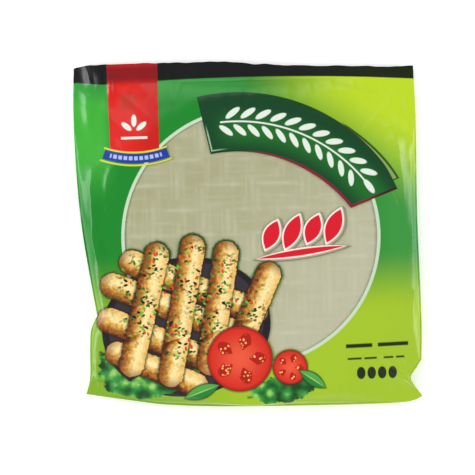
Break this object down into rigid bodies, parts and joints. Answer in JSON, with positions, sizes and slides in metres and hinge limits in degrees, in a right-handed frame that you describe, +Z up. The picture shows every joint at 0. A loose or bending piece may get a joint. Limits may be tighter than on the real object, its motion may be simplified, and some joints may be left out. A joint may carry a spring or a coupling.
{
  "type": "rice paper pack",
  "caption": "Flat sealed film pack of round rice papers, with a printed front, a large round clear window and a dark heat-sealed top band.",
  "frame": {"origin": "centre of the pack's box, on the surface it lies on", "axes": "+Z up out of the printed front, +Y towards the heat-sealed top band, +X to the right of the print"},
  "size_m": [0.2474, 0.2503, 0.0168],
  "materials": {
    "printed_film": "glossy printed plastic film, green to lime, dark at the top band",
    "clear_film": "clear glossy plastic film",
    "rice_paper": "matt, translucent, with the print of a drying mat"
  },
  "bodies": {
    "root": {"printed_film": "printed_film", "clear_window": "clear_film", "rice_papers": "rice_paper"}
  },
  "joints": []
}
